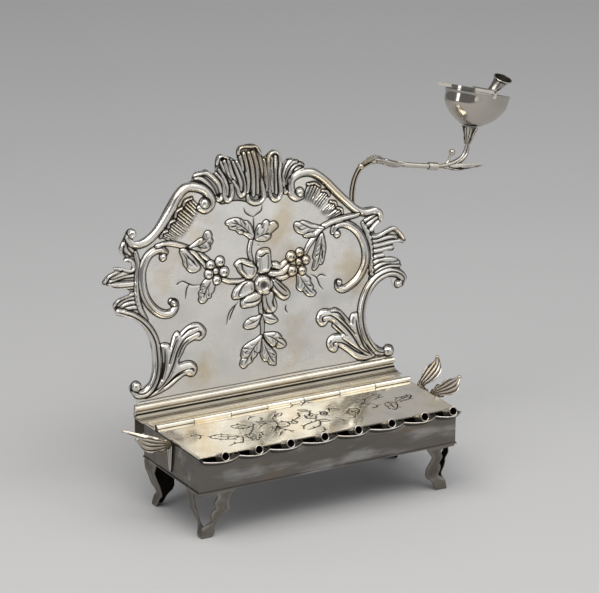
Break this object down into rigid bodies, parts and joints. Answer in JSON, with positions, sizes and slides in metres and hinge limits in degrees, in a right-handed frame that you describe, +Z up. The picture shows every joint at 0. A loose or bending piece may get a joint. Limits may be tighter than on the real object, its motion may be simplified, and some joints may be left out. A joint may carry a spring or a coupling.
{
  "type": "hanukkah lamp",
  "caption": "Bench-type silver Hanukkah lamp: oil box with spouted wells under a hinged lid, embossed backplate, openwork feet, leaf handles and a servant light on a lift-out arm.",
  "frame": {"origin": "middle of the whole lamp's footprint box, at the height of the table it stands on", "axes": "+X to the right as the lamp faces the viewer, towards the servant light; +Y to the back, towards the backplate; +Z up"},
  "size_m": [0.3448, 0.15, 0.2533],
  "materials": {
    "embossed_silver": "aged silver, polished on the raised work and tarnished in the recesses",
    "polished_silver": "polished silver with fine scratches and warm tarnish",
    "plain_silver": "dull grey silver, softly brushed",
    "dark_silver": "oil-darkened silver"
  },
  "bodies": {
    "lamp_body": {"oil_box_walls": "plain_silver", "oil_box_floor": "plain_silver", "rear_ledge": "polished_silver", "hinge_pin": "plain_silver", "moulding": "polished_silver", "oil_well_1": "dark_silver", "oil_well_2": "dark_silver", "oil_well_3": "dark_silver", "oil_well_4": "dark_silver", "oil_well_5": "dark_silver", "oil_well_6": "dark_silver", "oil_well_7": "dark_silver", "oil_well_8": "dark_silver", "wick_tube_1": "plain_silver", "wick_tube_2": "plain_silver", "wick_tube_3": "plain_silver", "wick_tube_4": "plain_silver", "wick_tube_5": "plain_silver", "wick_tube_6": "plain_silver", "wick_tube_7": "plain_silver", "wick_tube_8": "plain_silver", "rear_brace_left": "plain_silver", "rear_brace_right": "plain_silver", "foot_front_left": "plain_silver", "foot_front_right": "plain_silver", "foot_rear_left": "plain_silver", "foot_rear_right": "plain_silver", "handle_strap_left": "plain_silver", "handle_strap_right": "plain_silver", "handle_front_leaf_left": "embossed_silver", "handle_front_leaf_right": "embossed_silver", "handle_rear_leaf_left": "embossed_silver", "handle_rear_leaf_right": "embossed_silver", "backplate": "embossed_silver", "servant_sleeve": "plain_silver"},
    "lid": {"lid": "polished_silver"},
    "servant_light": {"servant_arm": "embossed_silver", "servant_ferrule": "polished_silver", "servant_branch": "embossed_silver", "servant_calyx": "embossed_silver", "servant_bowl": "polished_silver", "servant_cover_pin": "plain_silver", "servant_wick_tube": "polished_silver"},
    "servant_cover": {"servant_cover": "polished_silver"}
  },
  "joints": [
    {"name": "lid_hinge", "type": "hinge", "parent": "lamp_body", "child": "lid", "pos_m": [-0.04385, -0.00062, 0.061], "axis": [-1, 0, 0], "range_deg": [0, 110]},
    {"name": "servant_arm_lift", "type": "slide", "parent": "lamp_body", "child": "servant_light", "axis": [0, 0.1575, 0.9875], "range_m": [0, 0.03]},
    {"name": "servant_cover_hinge", "type": "hinge", "parent": "servant_light", "child": "servant_cover", "pos_m": [0.15002, 0.05865, 0.24269], "axis": [0, 0.9875, -0.1575], "range_deg": [0, 80]}
  ]
}
